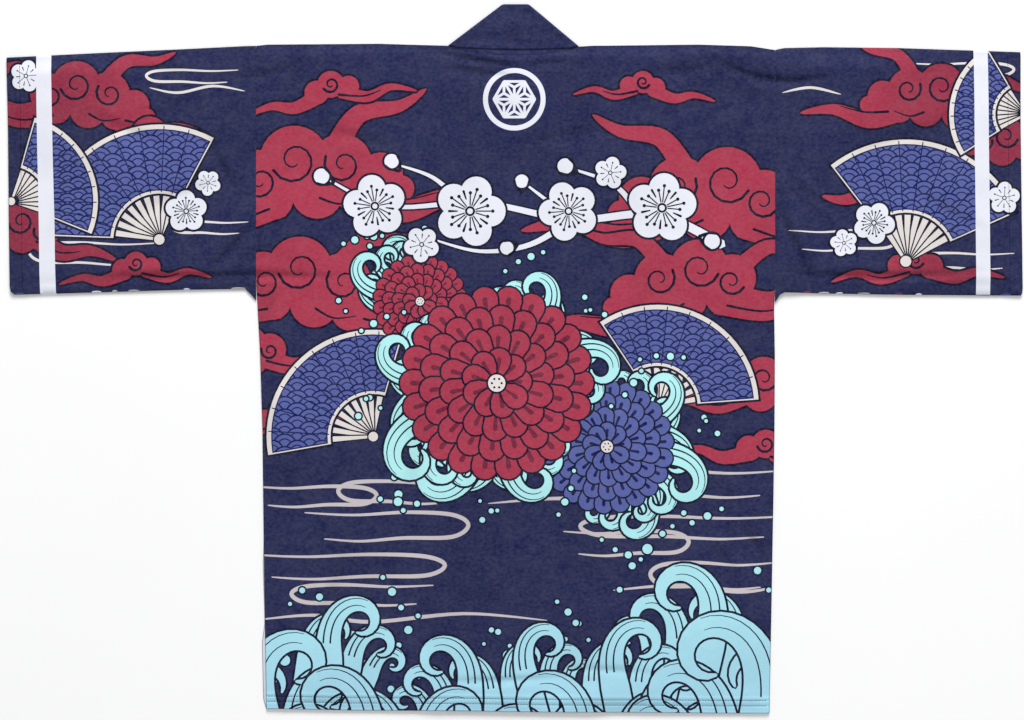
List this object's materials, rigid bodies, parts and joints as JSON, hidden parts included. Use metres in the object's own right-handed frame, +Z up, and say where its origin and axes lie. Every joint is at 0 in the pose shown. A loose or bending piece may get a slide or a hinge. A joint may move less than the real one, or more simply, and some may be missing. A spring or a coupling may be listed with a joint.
{
  "type": "happi coat",
  "caption": "Open-fronted festival coat with wide straight sleeves and a folded collar band, laid flat with its back up.",
  "frame": {"origin": "middle of the coat's box, on the surface it lies on", "axes": "+Z up out of the surface, +Y from hem to collar, +X from one cuff to the other"},
  "size_m": [1.2186, 0.8514, 0.0057],
  "materials": {
    "printed_cloth": "matt smooth polyester, dusky navy ground with a crimson, periwinkle, aqua and off-white print",
    "collar_cloth": "matt polyester, plain navy, folded double and pressed"
  },
  "bodies": {
    "root": {"back_panel": "printed_cloth", "front_left": "printed_cloth", "front_right": "printed_cloth", "sleeve_left": "printed_cloth", "sleeve_right": "printed_cloth", "collar": "collar_cloth"}
  },
  "joints": []
}
